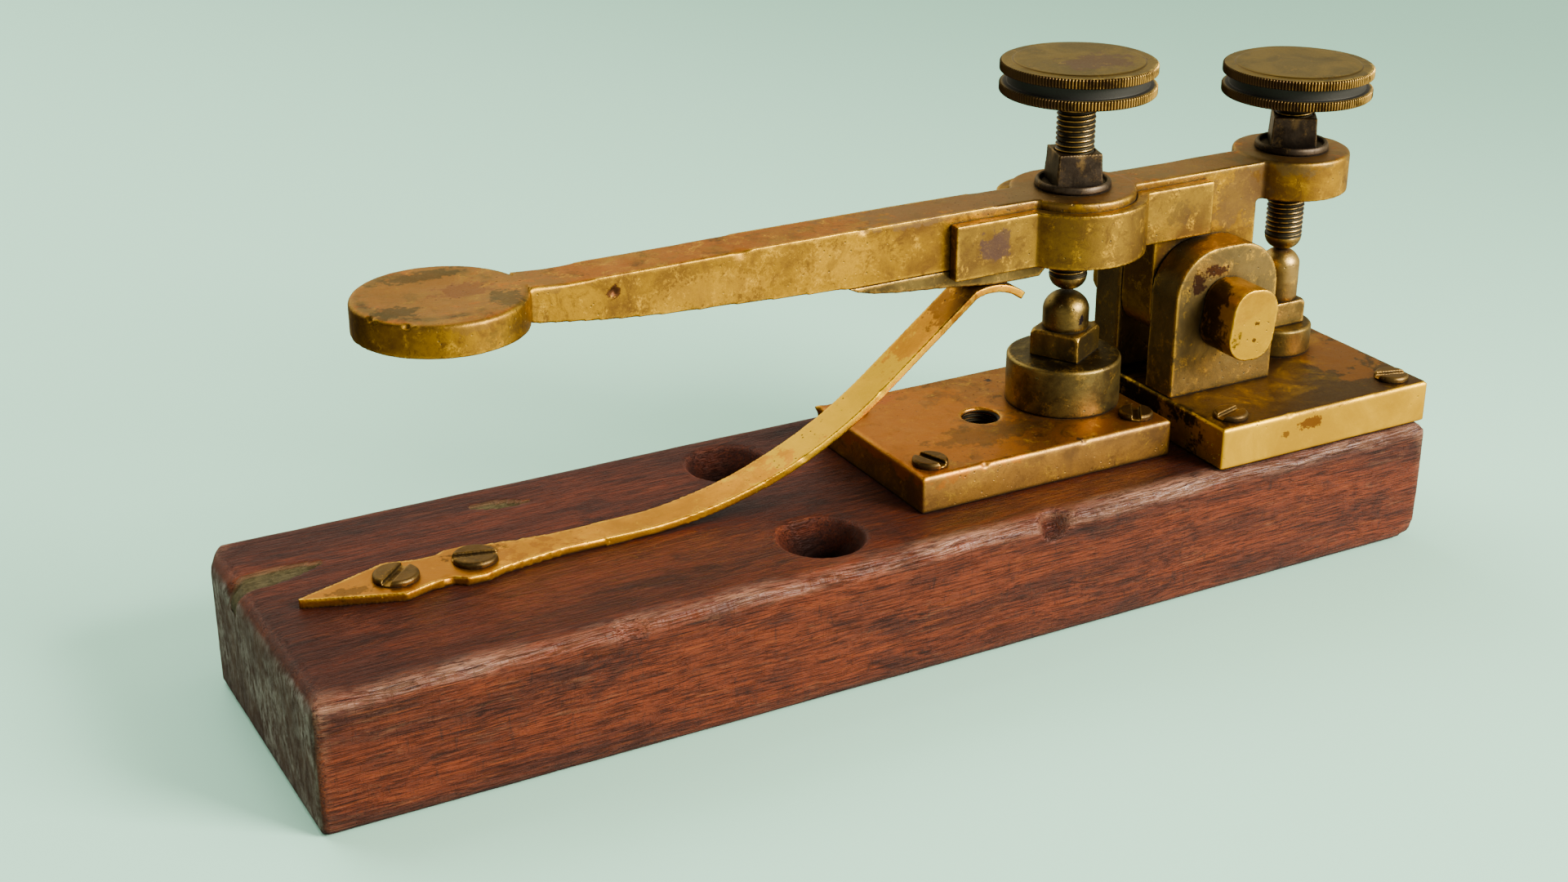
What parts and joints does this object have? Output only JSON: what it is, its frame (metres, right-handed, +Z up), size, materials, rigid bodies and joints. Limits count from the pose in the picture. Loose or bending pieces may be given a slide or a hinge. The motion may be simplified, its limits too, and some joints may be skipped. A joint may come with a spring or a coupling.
{
  "type": "morse key",
  "caption": "Straight telegraph key on a wooden base: sprung brass lever with finger disc, trunnion bearings, working contact, back stop and knobbed adjusting screws.",
  "frame": {"origin": "middle of the wooden base's underside", "axes": "+X along the lever from the finger disc to the back stop, +Y across the base, +Z up"},
  "size_m": [0.18, 0.0486, 0.0781],
  "materials": {
    "mahogany": "worn satin varnish",
    "brass": "aged, tarnished satin",
    "dark_brass": "dark patina, rubbed edges",
    "bronze": "dark brown patina",
    "screw_brass": "dark threads with bright crests",
    "contact_metal": "tarnished contact face",
    "steel": "dull"
  },
  "bodies": {
    "base": {"wooden_base": "mahogany", "front_plate": "brass", "rear_plate": "brass", "front_plate_screws": "dark_brass", "rear_plate_screws": "dark_brass", "leaf_spring": "brass", "spring_screws": "dark_brass", "front_contact_seat": "brass", "front_contact_nut": "dark_brass", "front_contact_post": "brass", "rear_contact_seat": "dark_brass", "rear_contact_nut": "dark_brass", "rear_contact_post": "brass", "near_bearing_ear": "brass", "far_bearing_ear": "brass", "ear_screws": "steel"},
    "near_trunnion": {"near_trunnion_screw": "brass"},
    "far_trunnion": {"far_trunnion_screw": "brass"},
    "lever": {"lever_arm": "brass", "finger_disc": "brass", "near_side_strap": "brass", "far_side_strap": "brass", "spring_rub_plate": "dark_brass", "front_cup_washer": "bronze", "rear_cup_washer": "bronze"},
    "front_nut": {"front_lock_nut": "bronze"},
    "rear_nut": {"rear_lock_nut": "bronze"},
    "front_tip": {"front_contact_tip": "contact_metal"},
    "front_screw": {"front_screw_rod": "screw_brass", "front_knob": "dark_brass"},
    "rear_tip": {"rear_contact_tip": "contact_metal"},
    "rear_screw": {"rear_screw_rod": "screw_brass", "rear_knob": "dark_brass"}
  },
  "joints": [
    {"name": "lever_pivot", "type": "hinge", "parent": "base", "child": "lever", "pos_m": [0.059, 0, 0.0388], "axis": [0, -1, 0], "range_deg": [0, 0.9], "stiffness_Nm_per_rad": 0.7, "springref_deg": -20.63, "deforming": ["leaf_spring"]},
    {"name": "front_screw_travel", "type": "slide", "parent": "lever", "child": "front_tip", "axis": [0, 0, 1], "range_m": [0, 0.003]},
    {"name": "front_screw_turn", "type": "hinge", "parent": "front_tip", "child": "front_screw", "pos_m": [0.037, 0, 0.06], "axis": [0, 0, 1], "range_deg": [0, 1440]},
    {"name": "rear_screw_travel", "type": "slide", "parent": "lever", "child": "rear_tip", "axis": [0, 0, 1], "range_m": [0, 0.003]},
    {"name": "rear_screw_turn", "type": "hinge", "parent": "rear_tip", "child": "rear_screw", "pos_m": [0.0784, 0, 0.06], "axis": [0, 0, 1], "range_deg": [0, 1440]},
    {"name": "front_nut_turn", "type": "hinge", "parent": "lever", "child": "front_nut", "pos_m": [0.037, 0, 0.062], "axis": [0, 0, 1], "range_deg": [0, 60]},
    {"name": "rear_nut_turn", "type": "hinge", "parent": "lever", "child": "rear_nut", "pos_m": [0.0784, 0, 0.062], "axis": [0, 0, 1], "range_deg": [0, 60]},
    {"name": "near_trunnion_turn", "type": "hinge", "parent": "base", "child": "near_trunnion", "pos_m": [0.059, -0.007, 0.0388], "axis": [0, -1, 0], "range_deg": [0, 45]},
    {"name": "far_trunnion_turn", "type": "hinge", "parent": "base", "child": "far_trunnion", "pos_m": [0.059, 0.007, 0.0388], "axis": [0, 1, 0], "range_deg": [0, 45]}
  ],
  "couplings": [
    {"joint": "front_screw_turn", "follows": "front_screw_travel", "rad_per_m": 8377.5},
    {"joint": "rear_screw_turn", "follows": "rear_screw_travel", "rad_per_m": 8377.5}
  ]
}
